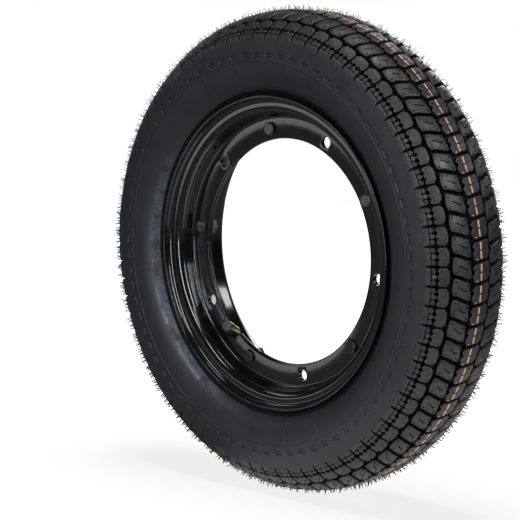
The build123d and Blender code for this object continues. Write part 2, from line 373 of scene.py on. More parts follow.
edge_angle = tread_half / crown_radius
edge_point = (crown_centre + crown_radius * math.cos(edge_angle), crown_radius * math.sin(edge_angle))
edge_rise = edge_point[0] - widest_radius
edge_drop = half_width - edge_point[1]
side_radius = (edge_rise**2 + edge_drop**2) / (2 * edge_drop)
side_start = math.asin(edge_rise / side_radius)
side_length = side_radius * side_start
low_rise = widest_radius - flare_end[0]
low_drop = half_width - flare_end[1]
low_radius = (low_rise**2 + low_drop**2) / (2 * low_drop)
low_length = low_radius * math.asin(low_rise / low_radius)
normal_blend = 2.5


def surface(s):
    """Radius, side offset and outward normal of the tyre's outer skin at each signed distance s."""
    s = np.asarray(s, float)
    side = np.where(s < 0, -1.0, 1.0)
    a = np.abs(s)
    crown = np.minimum(a, tread_half) / crown_radius
    radius = crown_centre + crown_radius * np.cos(crown)
    offset = crown_radius * np.sin(crown)
    tilt = crown.copy()
    down = np.clip(a - tread_half, 0, side_length)
    turn = side_start - down / side_radius
    upper = a > tread_half
    radius = np.where(upper, widest_radius + side_radius * np.sin(turn), radius)
    offset = np.where(upper, half_width - side_radius + side_radius * np.cos(turn), offset)
    side_tilt = math.pi / 2 - turn
    share = np.clip((a - tread_half + normal_blend) / (2 * normal_blend), 0, 1)
    tilt = np.where(share >= 1, side_tilt, tilt * (1 - share) + share * side_tilt)
    below = np.clip(a - tread_half - side_length, 0, low_length) / low_radius
    lower = a > tread_half + side_length
    radius = np.where(lower, widest_radius - low_radius * np.sin(below), radius)
    offset = np.where(lower, half_width - low_radius + low_radius * np.cos(below), offset)
    tilt = np.where(lower, math.pi / 2 + below, tilt)
    return radius, side * offset, np.cos(tilt), side * np.sin(tilt)


def groove_floor(s):
    """Depth of the floor between the blocks, fading out where the shoulder notches end."""
    places, depths = zip(*floor_depths)
    return np.interp(np.abs(s), places, depths)


def ease(x):
    """Smooth step from 0 to 1 as x goes from 0 to 1."""
    x = np.clip(x, 0, 1)
    return x * x * (3 - 2 * x)


def far_swell(s):
    """How much fuller the far shoulder is than the near one."""
    s = np.asarray(s, float)
    rising = ease((s - swell_start) / (swell_full - swell_start))
    falling = ease((swell_end - s) / (swell_end - swell_hold))
    return swell * rising * falling


def on_tyre(s, v, height):
    """Points at distance s across, v along the tread and a height over the skin."""
    radius, offset, out_r, out_y = surface(s)
    height = height + far_swell(s)
    radius = radius + height * out_r
    angle = tread_phase + np.asarray(v, float) / tyre_radius
    return np.stack([radius * np.cos(angle), offset + height * out_y, radius * np.sin(angle)], -1)


def side_distance(radius):
    """The distance s at which the upper side has this radius."""
    turn = math.asin((radius - widest_radius) / side_radius)
    return tread_half + side_radius * (side_start - turn)


# Carcass: groove floor, sides with a raised ring and a row of pockets, beads and the inside

pocket_low = side_distance(pocket_top_radius)
pocket_high = side_distance(pocket_foot_radius)
ring_centre = side_distance(ring_radius)
pocket_depth = 1.2
pocket_wall = 1.0
ring_height = 0.45
ring_half = 0.75
# Share of the ring's half width that is flat on top, and the limit that takes in its edge
ring_flat, ring_flat_limit = 0.4, 0.41
crown_end, crown_step = 49.0, 4.0
notch_start = 51.0
side_rings = 14
# Pockets span this share of a pitch, midway between the notches; each wall takes a small part of it
pocket_start, pocket_stop, wall_share = 0.22, 0.78, 0.06

outer_s = sorted(
    set(
        list(np.arange(0, crown_end, crown_step))
        + [place for place, depth in floor_depths]
        + list(np.linspace(notch_start, notch_end - 1, 4))
        + [notch_end + 1.5]
        + [pocket_low - pocket_wall, pocket_low, pocket_low + pocket_wall]
        + [pocket_high - pocket_wall, pocket_high, pocket_high + pocket_wall]
        + [ring_centre + ring_half * share for share in (-1, -ring_flat, ring_flat, 1)]
        + list(np.linspace(ring_centre + 2, tread_half + side_length + low_length, side_rings))
    )
)
outer_s = np.array(outer_s)


def side_relief(s):
    """Height of the carcass skin over the plain surface away from the pockets."""
    ring = np.where(np.abs(np.abs(s) - ring_centre) <= ring_half * ring_flat_limit, ring_height, 0.0)
    return np.where(np.abs(s) <= notch_end, -groove_floor(s), 0.0) + ring


def bead_points():
    """The skin from the end of the lower side, round the rim's lip and under the bead to its toe."""
    points = arc_points(clinch_centre, clinch_radius, -25, -90, 6)
    points += arc_points(heel_centre, heel_radius, 90, 180, 5)
    points += [(bead_line, toe_offset), (bead_line + bead_rise, toe_offset + bead_slope)]
    return points


taper_half = math.sqrt(cavity_radius**2 - (taper_radius - cavity_centre) ** 2)
taper_angle = math.degrees(math.atan2(taper_half, taper_radius - cavity_centre))
half_inner = bead_points() + arc_points((cavity_centre, 0), cavity_radius, taper_angle, 0, 10)
right_inner = half_inner[:-1]
closing = right_inner + [half_inner[-1]] + [(r, -y) for r, y in reversed(right_inner)]
signed_s = np.concatenate([-outer_s[:0:-1], outer_s])

shift_share = far_shift / pitch
shares = []
for moved in (0.0, shift_share):
    for share in (pocket_start, pocket_start + wall_share, pocket_stop - wall_share, pocket_stop):
        shares.append((share + moved) % 1.0)
shares = np.array(sorted(shares))
near_column = (shares > pocket_start + wall_share * 0.5) & (shares < pocket_stop - wall_share * 0.5)
far_place = (shares - shift_share) % 1.0
far_column = (far_place > pocket_start + wall_share * 0.5) & (far_place < pocket_stop - wall_share * 0.5)

skin_r, skin_y, skin_nr, skin_ny = surface(signed_s)
relief = side_relief(signed_s) + far_swell(signed_s)
past_low = np.abs(signed_s) > pocket_low + pocket_wall * 0.5
before_high = np.abs(signed_s) < pocket_high - pocket_wall * 0.5
pocket_inner = past_low & before_high
rows = []
for step in range(pitches):
    for share, near, far in zip(shares, near_column, far_column):
        angle = tread_phase + (step + share + shoulder_phase) * 2 * math.pi / pitches
        sunk = pocket_inner & np.where(signed_s < 0, near, far)
        height = relief - pocket_depth * sunk
        radius = np.concatenate([skin_r + height * skin_nr, [p[0] for p in closing]])
        offset = np.concatenate([skin_y + height * skin_ny, [p[1] for p in closing]])
        rows.append(np.stack([radius * math.cos(angle), offset, radius * math.sin(angle)], 1))
carcass_verts = np.concatenate(rows)
carcass_faces = revolve_faces(len(rows), len(rows[0])).tolist()

# Raised mould lines: fine radial ridges down both sides
line_step = 15
line_offset = 25.0
line_half = 0.32
line_height, line_root = 0.3, -0.2
line_flat = 0.4
line_radius = 157.0
line_s = np.linspace(ring_centre + ring_half, tread_half + side_length + low_length - 0.5, 12)
extra_verts, extra_faces = [], []
start = len(carcass_verts)
for side in (-1, 1):
    for number in range(360 // line_step):
        middle = (math.radians(line_offset + number * line_step) - tread_phase) * tyre_radius
        wide = line_half * tyre_radius / line_radius
        flat = wide * line_flat
        ridge = ((-wide, line_root), (-flat, line_height), (flat, line_height), (wide, line_root))
        for shift, height in ridge:
            extra_verts.append(on_tyre(side * line_s, np.full(len(line_s), middle + shift), height))
        count = len(line_s)
        for row in range(4):
            following = (row + 1) % 4
            for k in range(count - 1):
                low, high = row * count + k, following * count + k
                quad = [low, low + 1, high + 1, high]
                extra_faces.append([start + q for q in (quad if side > 0 else quad[::-1])])
        ends = ([row * count for row in range(4)], [row * count + count - 1 for row in range(3, -1, -1)])
        extra_faces += [[start + q for q in (end if side > 0 else end[::-1])] for end in ends]
        start += 4 * count
carcass_verts = np.concatenate([carcass_verts, *extra_verts])
# Groove floors and the inner faces round the bead, by the rim's lip, take the dark rubber: painted shade.
shade_face = np.zeros(len(rows[0]), int)
shade_face[: len(signed_s) - 1] = np.abs(signed_s[1:] + signed_s[:-1]) / 2 < notch_end
shade_face[len(signed_s) - 1 :] = 1
carcass_slots = list(np.tile(shade_face, len(rows))) + [0] * len(extra_faces)
carcass_faces += extra_faces
carcass = mesh_object(
    "tyre_carcass", carcass_verts, carcass_faces, [side_rubber, shade_rubber], carcass_slots, sharp=24.0
)


# Tread blocks


def offset_outline(outline, amount):
    """The closed outline moved outwards by amount, with mitred corners; it runs anticlockwise."""
    points = np.asarray(outline, float)
    ahead = np.roll(points, -1, 0) - points
    ahead /= np.linalg.norm(ahead, axis=1)[:, None]
    behind = np.roll(ahead, 1, 0)
    normal_ahead = np.stack([ahead[:, 1], -ahead[:, 0]], 1)
    normal_behind = np.stack([behind[:, 1], -behind[:, 0]], 1)
    mitre = normal_ahead + normal_behind
    scale = np.maximum((mitre * mitre).sum(1) / 2, 0.35)
    return points + mitre * (amount / scale)[:, None]


def area(outline):
    """Signed area, positive when the outline runs anticlockwise."""
    p = np.asarray(outline, float)
    q = np.roll(p, -1, 0)
    return 0.5 * float((p[:, 0] * q[:, 1] - q[:, 0] * p[:, 1]).sum())


def inside(points, outline):
    """Which points lie inside the outline."""
    points = np.asarray(points, float)
    p = np.asarray(outline, float)
    q = np.roll(p, -1, 0)
    x, y = points[:, 0:1], points[:, 1:2]
    crosses = (p[:, 1] > y) != (q[:, 1] > y)
    with np.errstate(divide="ignore", invalid="ignore"):
        at = (q[:, 0] - p[:, 0]) * (y - p[:, 1]) / (q[:, 1] - p[:, 1]) + p[:, 0]
    return (crosses & (x < at)).sum(1) % 2 == 1


def ribbon(points, width):
    """The outline of a slit that follows points."""
    points = np.asarray(points, float)
    direction = np.gradient(points, axis=0)
    direction /= np.linalg.norm(direction, axis=1)[:, None]
    across = np.stack([-direction[:, 1], direction[:, 0]], 1) * width / 2
    return np.concatenate([points - across, (points + across)[::-1]])


def disc(centre, radius, count=8):
    """The outline of a small round hole."""
    angles = np.linspace(0, 2 * math.pi, count, endpoint=False)
    return np.stack([centre[0] + radius * np.cos(angles), centre[1] + radius * np.sin(angles)], 1)


bevel = 0.6
edge_turn = 0.3
dimple_depth = 0.7
dimple_slope = 0.3
draft = 0.35
root = 0.3
sink_slope = 0.12
slit_depth = 2.4
slit_taper = 0.12
# Clearances of the grid inside a block's top: from its outline, holes, paint and creases
outline_clear, hole_clear, paint_clear, crease_clear = 1.3, 0.5, 0.4, 0.8
grid_s = 4.0
grid_v = 5.0


# Material slots of the tread; the wall slot, on block walls, slits and dimples, carries painted shade.
TOP, PAINT, WALL = 0, 1, 2


class TreadMesh:
    """One pitch of blocks in (s, v, height), to be copied round the tyre."""

    def __init__(self):
        self.points, self.faces, self.slots = [], [], []

    def ring(self, outline, height):
        """Adds the outline's points at this height, sunk into the side past the notches."""
        first = len(self.points)
        heights = np.broadcast_to(height, (len(outline),))
        for p, h in zip(outline, heights):
            self.points.append((p[0], p[1], h - sink_slope * max(abs(p[0]) - notch_end, 0)))
        return list(range(first, first + len(outline)))

    def strip(self, low, high, slot):
        """Quads between two rings of points."""
        for k in range(len(low)):
            after = (k + 1) % len(low)
            self.faces.append([low[k], low[after], high[after], high[k]])
            self.slots.append(slot)

    def block(
        self, outline, slits=(), dots=(), paint=(), creases=(), edge=bevel, dome=0.0, tilt=(0.0, 0.0)
    ):
        """A block with rounded edges, a domed or tilted top, and slits, dimples and paint in it."""
        outline = np.asarray(outline, float)
        if area(outline) < 0:
            outline = outline[::-1]
        centre = (outline.min(0) + outline.max(0)) / 2
        reach = (outline.max(0) - outline.min(0)) / 2

        def lift(points):
            away = np.asarray([(p[0], p[1]) for p in points]) - centre
            bulge = np.clip(1 - (away / reach) ** 2, 0, 1)
            return dome * bulge[:, 0] * bulge[:, 1] + away @ np.asarray(tilt)

        foot = offset_outline(outline, draft)
        bend = offset_outline(outline, -edge * edge_turn)
        top = offset_outline(outline, -edge)
        drop = np.minimum(edge, groove_floor(outline[:, 0]) * 0.5)
        low = self.ring(foot, -groove_floor(foot[:, 0]) - root)
        middle = self.ring(outline, lift(outline) - drop)
        turned = self.ring(bend, lift(bend) - drop * edge_turn)
        high = self.ring(top, lift(top))
        self.strip(low, middle, WALL)
        self.strip(middle, turned, TOP)
        self.strip(turned, high, TOP)
        self.faces.append(low[::-1])
        self.slots.append(WALL)
        holes = [(np.asarray(h, float), slit_depth, slit_taper) for h in slits]
        holes += [(np.asarray(d, float), dimple_depth, dimple_slope) for d in dots]
        holes = [(h if area(h) > 0 else h[::-1], depth, inset) for h, depth, inset in holes]
        flat, edges, owners = [], [], []

        def put(line, closed, kept):
            first = len(flat)
            flat.extend([Vector((p[0], p[1])) for p in line])
            owners.extend(kept if kept is not None else [None] * len(line))
            last = len(line) if closed else len(line) - 1
            edges.extend([(first + k, first + (k + 1) % len(line)) for k in range(last)])

        put(top, True, high)
        rings = []
        for hole, depth, inset in holes:
            rim = self.ring(hole, lift(hole))
            rings.append((hole, depth, inset, rim))
            put(hole, True, rim)
        for patch in paint:
            put(patch, True, None)
        for crease in creases:
            put(crease, False, None)
        lowest, highest = top.min(0), top.max(0)
        across = np.arange(math.ceil(lowest[0] / grid_s) * grid_s, highest[0], grid_s)
        along = np.arange(lowest[1] + grid_v / 2, highest[1], grid_v)
        grid = np.array([(x, y) for x in across for y in along]).reshape(-1, 2)
        if len(grid):
            keep = inside(grid, offset_outline(outline, -outline_clear))
            for hole, depth, inset, rim in rings:
                keep &= ~inside(grid, offset_outline(hole, hole_clear))
            for patch in paint:
                keep &= ~inside(grid, offset_outline(patch, paint_clear))
            for crease in creases:
                keep &= np.abs(grid[:, 0] - crease[0][0]) > crease_clear
            for p in grid[keep]:
                flat.append(Vector((p[0], p[1])))
                owners.append(None)
        found, _, triangles, origin, _, _ = delaunay_2d_cdt(flat, edges, [], 0, 1e-5)
        index = []
        for k, p in enumerate(found):
            kept = [owners[o] for o in origin[k] if owners[o] is not None]
            index.append(kept[0] if kept else self.ring([p], lift([p]))[0])
        centres = np.array([[sum(found[k][axis] for k in t) / 3 for axis in (0, 1)] for t in triangles])
        keep = inside(centres, top)
        for hole, depth, inset, rim in rings:
            keep &= ~inside(centres, hole)
        painted = np.zeros(len(triangles), bool)
        for patch in paint:
            painted |= inside(centres, patch)
        for k, triangle in enumerate(triangles):
            if keep[k]:
                self.faces.append([index[i] for i in triangle])
                self.slots.append(PAINT if painted[k] else TOP)
        for hole, depth, inset, rim in rings:
            bottom = offset_outline(hole, -inset)
            floor = self.ring(bottom, lift(bottom) - depth)
            self.strip(rim, floor, WALL)
            self.faces.append(floor)
            self.slots.append(WALL)


def gap_line(a):
    """Where the slanted gap of the second row lies along the tread, at distance a from the middle."""
    return pitch * float(np.interp(a, [12.0, 14.5, 17.5, 25.0, 29.5], [0.13, 0.14, 0.185, 0.345, 0.365]))


def bitten_edge(a, low, high, bite):
    """An edge at distance a from v = low to v = high with two pointed bites and cut corners."""
    length = high - low
    shape = ((0.0, 0.35), (0.12, 0.0), (0.29, 1.0), (0.46, 0.1))
    shape += tuple((1.0 - share, deep) for share, deep in reversed(shape))
    return [(a + bite * deep, low + length * share) for share, deep in shape]


tread = TreadMesh()

# Middle row, with the marking stripe
slope = math.tan(math.radians(10.0))
half_gap = 1.45
low_line = [(s, s * slope + half_gap) for s in (-7.6, -4.0, 0.0, 4.0, 7.0)]
high_line = [(s, s * slope + pitch - half_gap) for s in (7.4, 4.0, 0.0, -4.0, -8.0)]
far_edge = [(9.0, 4.6), (10.2, 7.6), (9.2, 10.2), (10.2, 13.4), (9.6, pitch - 1.2)]
near_edge = [(-8.4, pitch - 4.4), (-10.4, 12.6), (-7.6, 9.5), (-10.4, 6.2), (-8.6, 1.9)]
middle_v = pitch / 2
bends = ((-4.4, -0.5), (-3.0, 0.0), (0.9, 0.0), (2.4, 0.6), (6.6, 3.2))
sipe = [(s, middle_v + shift) for s, shift in bends]
stripe_low, stripe_high = -2.15, -0.25
dashes = []
for start_v, end_v in ((half_gap + 0.75, middle_v - 0.62), (middle_v + 0.62, pitch - half_gap - 0.8)):
    dash = [(stripe_low, start_v), (stripe_high, start_v), (stripe_high, end_v), (stripe_low, end_v)]
    dashes.append(dash)
spot = disc((-6.0, -6.0 * slope + half_gap + 1.35), 0.65)
tread.block(
    low_line + far_edge + high_line + near_edge,
    slits=[ribbon(sipe, 0.6)],
    dots=[disc((6.0, 5.0), 0.5), disc((-7.0, 12.5), 0.5)],
    paint=[*dashes, spot],
    edge=0.7,
)

# Second, third and shoulder rows on both sides
for side, shift in ((-1, 0.0), (1, far_shift)):

    def placed(points):
        return [(side * a, v + shift) for a, v in points]

    # Second row: slanted blocks with a wavy slit
    half_gap = 1.75
    low_line = [(a, gap_line(a) + half_gap) for a in (13.0, 14.8, 17.5, 21.0, 25.0, 27.8)]
    high_line = [(a, gap_line(a) + pitch - half_gap) for a in (27.6, 25.0, 21.0, 17.5, 15.4, 14.0)]
    outer_v = gap_line(29.0)
    outer_edge = [(28.9, outer_v + 2.9), (29.5, outer_v + 6.0), (29.7, outer_v + 9.4)]
    outer_edge += [(29.2, outer_v + 12.6), (28.5, outer_v + pitch - 2.5)]
    inner_v = gap_line(13.0)
    inner_edge = [(13.4, inner_v + pitch - 2.8), (13.1, inner_v + 11.6)]
    inner_edge += [(12.4, inner_v + 8.6), (12.1, inner_v + 5.4), (12.3, inner_v + 3.0)]
    centre_v = gap_line(20.5) + pitch / 2
    wave = [(24.4, 2.3), (23.4, 1.9), (22.0, 1.0), (20.2, -0.3), (18.6, -1.2), (17.4, -1.4), (16.0, -1.2)]
    dots = [(26.6, gap_line(26.6) + half_gap + 2.2), (26.6, gap_line(26.6) + pitch - half_gap - 2.2)]
    dots += [(14.9, gap_line(14.9) + half_gap + 2.2), (15.6, gap_line(15.6) + pitch - half_gap - 2.4)]
    tread.block(
        placed(low_line + outer_edge + high_line + inner_edge),
        slits=[ribbon(placed([(a, v + centre_v) for a, v in wave]), 0.95)],
        dots=[disc(placed([p])[0], 0.85) for p in dots],
        edge=1.0,
        dome=0.7,
    )

    # Third row: rounded blocks with a pointed inner edge and a bitten outer edge
    half_gap = 1.0
    low_v = -0.165 * pitch + half_gap
    high_v = low_v + pitch - 2 * half_gap
    tip_v = (low_v + high_v) / 2 + 0.6
    outline = [(34.9, low_v), (37.5, low_v), (40.2, low_v)]
    outline += bitten_edge(42.3, low_v + 0.9, high_v - 0.9, -1.9)
    outline += [(40.2, high_v), (37.5, high_v), (34.9, high_v), (32.3, high_v - 2.7)]
    outline += [(31.7, tip_v), (32.3, low_v + 2.7)]
    dots = [(35.6, low_v + 2.2), (38.2, low_v + 2.2), (35.6, high_v - 2.2), (38.2, high_v - 2.2)]
    tread.block(placed(outline), dots=[disc(placed([p])[0], 0.5, 6) for p in dots], dome=0.3)

    # Knobs between the third row and the shoulder
    half_gap = 1.15
    low_v = shoulder_phase * pitch + half_gap
    high_v = low_v + pitch - 2 * half_gap
    knobs = ((0.16, 43.3, 0.14, 0.1), (0.5, 42.8, -0.16, -0.06), (0.84, 43.5, 0.1, -0.12))
    for share, tip_a, lean_a, lean_v in knobs:
        knob_v = low_v + (high_v - low_v) * share
        knob = [(tip_a, -0.9), (44.4, -2.3), (47.0, -2.5), (47.3, 0.0)]
        knob += [(46.9, 2.5), (44.7, 2.2), (tip_a, 0.6)]
        tread.block(placed([(a, v + knob_v) for a, v in knob]), edge=0.5, tilt=(side * lean_a, lean_v))

    # Shoulder: notches between the blocks that run a little way down the side
    outline = [(48.0, low_v), (tread_half, low_v), (52.0, low_v - 0.3), (notch_end, low_v - 0.9)]
    outline += [(notch_end + 4, low_v - 0.9), (notch_end + 4, high_v + 0.9), (notch_end, high_v + 0.9)]
    outline += [(52.0, high_v + 0.3), (tread_half, high_v), (48.0, high_v)]
    outline += bitten_edge(47.5, high_v - 0.4, low_v + 0.4, 0.5)
    crease = placed([(tread_half, low_v + bevel), (tread_half, high_v - bevel)])
    tread.block(placed(outline), creases=[crease])

base_points = np.array(tread.points)
base_count = len(base_points)
tread_verts, tread_faces, tread_slots = [], [], []
for step in range(pitches):
    tread_verts.append(on_tyre(base_points[:, 0], base_points[:, 1] + step * pitch, base_points[:, 2]))
    tread_faces += [[i + step * base_count for i in face] for face in tread.faces]
    tread_slots += tread.slots
blocks = mesh_object(
    "tyre_tread",
    np.concatenate(tread_verts),
    tread_faces,
    [tread_rubber, stripe_paint, shade_rubber],
    tread_slots,
    sharp=14.0,
)
face_outwards(blocks)


# Moulding hairs on the blocks

random.seed(7)
hair_root = 0.36
hair_sink = 0.2
hair_missing = 0.12
shortest_hair, longest_hair = 2.4, 5.2
hair_lean_s, hair_lean_v, hair_curl = 0.25, 0.28, 0.2
hair_sides = 3
hair_spots = [(6.5, 5.2), (-6.8, 12.6), (5.0, 14.6), (8.2, 8.6)]
hair_spots += [(-1.0, 9.0), (-4.0, 3.6), (2.6, 2.4), (0.8, 16.0)]
for side, shift in ((-1, 0.0), (1, far_shift)):
    for a, v in (
        (27.2, 0.36 * pitch + 4.0), (26.8, 0.36 * pitch + 13.5), (14.6, 0.14 * pitch + 3.4),
        (16.5, 0.14 * pitch + 14.0), (35.0, 1.5), (38.6, 11.0),
        (47.2, 1.0), (47.4, 10.6), (51.6, 3.0), (52.2, 12.0),
        (19.0, 0.2 * pitch + 8.5), (21.5, 0.27 * pitch + 3.2), (23.0, 0.3 * pitch + 14.2),
        (17.2, 0.17 * pitch + 5.0), (33.4, 6.4), (36.2, 8.0),
        (40.4, 4.2), (44.4, 2.2), (44.2, 13.4), (49.0, 6.2),
    ):
        hair_spots.append((side * a, v + shift))
hair_verts, hair_faces = [], []
hair_levels = ((0.0, 1.0), (0.45, 0.8), (0.85, 0.6))
for step in range(pitches):
    for s, v in hair_spots:
        if random.random() < hair_missing:
            continue
        length = random.uniform(shortest_hair, longest_hair)
        lean_s, lean_v = random.gauss(0, hair_lean_s), random.gauss(0, hair_lean_v)
        curl = random.gauss(0, hair_curl)
        first = sum(len(part) for part in hair_verts)
        for level, thickness in hair_levels:
            along = level * length
            centre_s = s + along * lean_s
            centre_v = v + step * pitch + along * (lean_v + curl * level)
            turns = [0.5 + k * 2 * math.pi / hair_sides for k in range(hair_sides)]
            ring_s = np.array([centre_s + hair_root * thickness * math.cos(t) for t in turns])
            ring_v = np.array([centre_v + hair_root * thickness * math.sin(t) for t in turns])
            hair_verts.append(on_tyre(ring_s, ring_v, along - hair_sink))
        tip_v = np.array([v + step * pitch + length * (lean_v + curl)])
        hair_verts.append(on_tyre(np.array([s + length * lean_s]), tip_v, length))
        for level in range(len(hair_levels) - 1):
            for k in range(hair_sides):
                after = (k + 1) % hair_sides
                low = first + level * hair_sides
                high = low + hair_sides
                hair_faces.append([low + k, low + after, high + after, high + k])
        tip = first + len(hair_levels) * hair_sides
        for k in range(hair_sides):
            hair_faces.append([tip - hair_sides + k, tip - hair_sides + (k + 1) % hair_sides, tip])
        hair_faces.append([first + 2, first + 1, first])
hairs = mesh_object("tyre_hairs", np.concatenate(hair_verts), hair_faces, [tread_rubber], sharp=80.0)


# Rim halves: smooth pressed sheets with rounded edges and punched holes


def rounded_path(corners, radii):
    """A path of points through corners, each inner corner turned into an arc of its radius."""
    points = [np.array(corners[0], float)]
    for before, corner, after, radius in zip(corners, corners[1:], corners[2:], radii):
        corner = np.array(corner, float)
        back = np.array(before, float) - corner
        ahead = np.array(after, float) - corner
        back /= np.linalg.norm(back)
        ahead /= np.linalg.norm(ahead)
        angle = math.acos(float(np.clip(back @ ahead, -1, 1)))
        reach = radius / math.tan(angle / 2)
        centre = corner + (back + ahead) / np.linalg.norm(back + ahead) * radius / math.sin(angle / 2)
        start = corner + back * reach - centre
        sweep = math.pi - angle
        turn = 1.0 if start[1] * back[0] - start[0] * back[1] > 0 else -1.0
        count = max(3, int(math.degrees(sweep) / arc_step) + 1)
        for k in range(count + 1):
            t = turn * sweep * k / count
            across = start[0] * math.cos(t) - start[1] * math.sin(t)
            along = start[0] * math.sin(t) + start[1] * math.cos(t)
            points.append(centre + [across, along])
    points.append(np.array(corners[-1], float))
    return np.array(points)


def sheet_profile(path, thickness):
    """The closed outline of a sheet on the left of the path, with rounded edges at both ends."""
    ahead = np.gradient(path, axis=0)
    ahead[0], ahead[-1] = path[1] - path[0], path[-1] - path[-2]
    ahead /= np.linalg.norm(ahead, axis=1)[:, None]
    left = np.stack([-ahead[:, 1], ahead[:, 0]], 1)
    other = path + left * thickness
    easing = thickness * 0.3

    def end(point, partner, forward):
        across = (partner - point) / np.linalg.norm(partner - point)
        points = []
        for k in range(4):
            t = math.pi / 2 * k / 3
            inset = across * easing * (1 - math.cos(t))
            points.append(point + inset + forward * easing * (math.sin(t) - 1))
        return points

    last = end(path[-1], other[-1], ahead[-1]) + end(other[-1], path[-1], ahead[-1])[::-1]
    first = end(other[0], path[0], -ahead[0]) + end(path[0], other[0], -ahead[0])[::-1]
    return np.concatenate([path[1:-1], last, other[1:-1][::-1], first])


rim_columns = 288
rim_sharp = 32.0


def turned(name, profile, material):
    """A closed profile turned round the axle line."""
    angles = np.arange(rim_columns) * 2 * math.pi / rim_columns
    radius, offset = profile[:, 0], profile[:, 1]
    verts = [np.stack([radius * math.cos(t), offset, radius * math.sin(t)], 1) for t in angles]
    faces = revolve_faces(rim_columns, len(profile)).tolist()
    obj = mesh_object(name, np.concatenate(verts), faces, [material])
    face_outwards(obj)
    return obj


def prism(sections):
    """A cutter lofted through outlines of 3-D points, closed at both ends."""
    count = len(sections[0])
    verts = np.concatenate([np.asarray(s, float) for s in sections])
    faces = []
    for level in range(len(sections) - 1):
        for k in range(count):
            after = (k + 1) % count
            low = level * count
            faces.append([low + k, low + after, low + count + after, low + count + k])
    faces.append(list(range(count))[::-1])
    faces.append([(len(sections) - 1) * count + k for k in range(count)])
    return verts, faces


def directions(angle):
    """The outward and the onward direction at this angle round the axle line."""
    radial = np.array([math.cos(angle), 0, math.sin(angle)])
    tangent = np.array([-math.sin(angle), 0, math.cos(angle)])
    return radial, tangent


def punch_sections(angle, outline, face_low, face_high):
    """Sections of a flange punch along the axle line, flared at both faces for a broken edge."""
    edge = broken_edge
    levels = ((face_low - punch_margin, 0.0), (face_low - 0.01, edge), (face_low + edge, 0.0))
    levels += ((face_high - edge, 0.0), (face_high + 0.01, edge), (face_high + punch_margin, 0.0))
    radial, tangent = directions(angle)
    sections = []
    for y, grow in levels:
        grown = offset_outline(outline, grow) if grow else np.asarray(outline, float)
        sections.append([radial * p[0] + tangent * p[1] + np.array([0, y, 0]) for p in grown])
    return sections


def slot_outline(bottom, width, opening):
    """A U-shaped notch from the opening radius out to the bottom radius."""
    half = width / 2
    points = [(opening, half), (opening, -half)]
    for t in np.linspace(-math.pi / 2, math.pi / 2, 25):
        points.append((bottom - half + half * math.cos(t), half * math.sin(t)))
    outline = np.array(points)
    return outline if area(outline) > 0 else outline[::-1]


def punch(obj, face_low, face_high, valve_hole):
    """Cuts the flange holes, the valve notch and, where asked, the valve's hole through the seat."""
    cutters = []
    for start_angle, radius in ((hub_angle, hub_hole_radius), (bolt_angle, bolt_hole_radius)):
        for number in range(rim_hole_count):
            angle = math.radians(start_angle + number * 360 / rim_hole_count)
            outline = disc((bolt_circle, 0), radius, 40)
            cutters.append(prism(punch_sections(angle, outline, face_low, face_high)))
    notch = slot_outline(
        centre_hole + valve_notch_depth, valve_notch_width, centre_hole - valve_notch_opening
    )
    cutters.append(prism(punch_sections(math.radians(valve_angle), notch, face_low, face_high)))
    if valve_hole:
        radial, tangent = directions(math.radians(valve_angle))
        ring = []
        for t in np.linspace(0, 2 * math.pi, 40, endpoint=False):
            side_y = valve_hole_y + valve_hole_radius * math.sin(t)
            ring.append(np.array([0, side_y, 0]) + tangent * valve_hole_radius * math.cos(t))
        cutters.append(prism([[p + radial * r for p in ring] for r in (valve_cut_start, valve_cut_end)]))
    verts, faces, count = [], [], 0
    for part_verts, part_faces in cutters:
        verts.append(part_verts)
        faces += [[i + count for i in f] for f in part_faces]
        count += len(part_verts)
    tool = mesh_object(obj.name + "_punch", np.concatenate(verts), faces, [obj.data.materials[0]])
    face_outwards(tool)
    cut = obj.modifiers.new("punch", "BOOLEAN")
    cut.operation = "DIFFERENCE"
    cut.solver = "EXACT"
    cut.object = tool
    graph = bpy.context.evaluated_depsgraph_get()
    mesh = bpy.data.meshes.new_from_object(obj.evaluated_get(graph))
    obj.modifiers.clear()
    obj.data = mesh
    bpy.data.objects.remove(tool)
    smooth(mesh, rim_sharp)


near_path = rounded_path(
    [
        (near_hole, mating_y),
        (base_radius, mating_y),
        (seat_radius, -half_rim),
        (rim_radius, -half_rim),
        (rim_radius, -lip_end),
    ],
    [bend, heel_bend, lip_bend],
)
near_half = turned("rim_half_near", sheet_profile(near_path[::-1], sheet), rim_paint)
punch(near_half, mating_y - sheet, mating_y, False)

far_path = rounded_path(
    [
        (centre_hole, mating_y),
        (base_radius, mating_y),
        (base_radius, step_start),
        (seat_radius - seat_rise, step_end),
        (seat_radius, half_rim),
        (rim_radius, half_rim),
        (rim_radius, lip_end),
    ],
    [bend, step_bend, step_bend, heel_bend, lip_bend],
)
far_half = turned("rim_half_far", sheet_profile(far_path, sheet), rim_paint)
punch(far_half, mating_y, mating_y + sheet, True)

# What replaces the CAD solids, and the finish of those that stay
for obj, node, slot in (
    (carcass, "tyre", "tyre_rubber"),
    (blocks, "tyre", "tyre_rubber"),
    (near_half, "outer_rim_half", "rim_paint"),
    (far_half, "inner_rim_half", "rim_paint"),
):
    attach(obj, WHEEL)
    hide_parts(node)
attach(hairs, WHEEL)

kept_sharp = 30.0
kept = {
    "inner_tube": tube_rubber,
    "rim_bolts": bolt_paint,
    "spring_washers": spring_steel,
    "rim_nuts": bolt_paint,
    "valve_stem": valve_brass,
    "valve_core": valve_brass,
    "valve_pin": valve_brass,
    "valve_spring": spring_steel,
    "valve_cap": cap_plastic,
    "valve_cap_seal": tube_rubber,
}
for node, material in kept.items():
    mesh = nodes[node].data
    mesh.materials.clear()
    mesh.materials.append(material)
    smooth(mesh, kept_sharp)


# Camera, in the photo's place

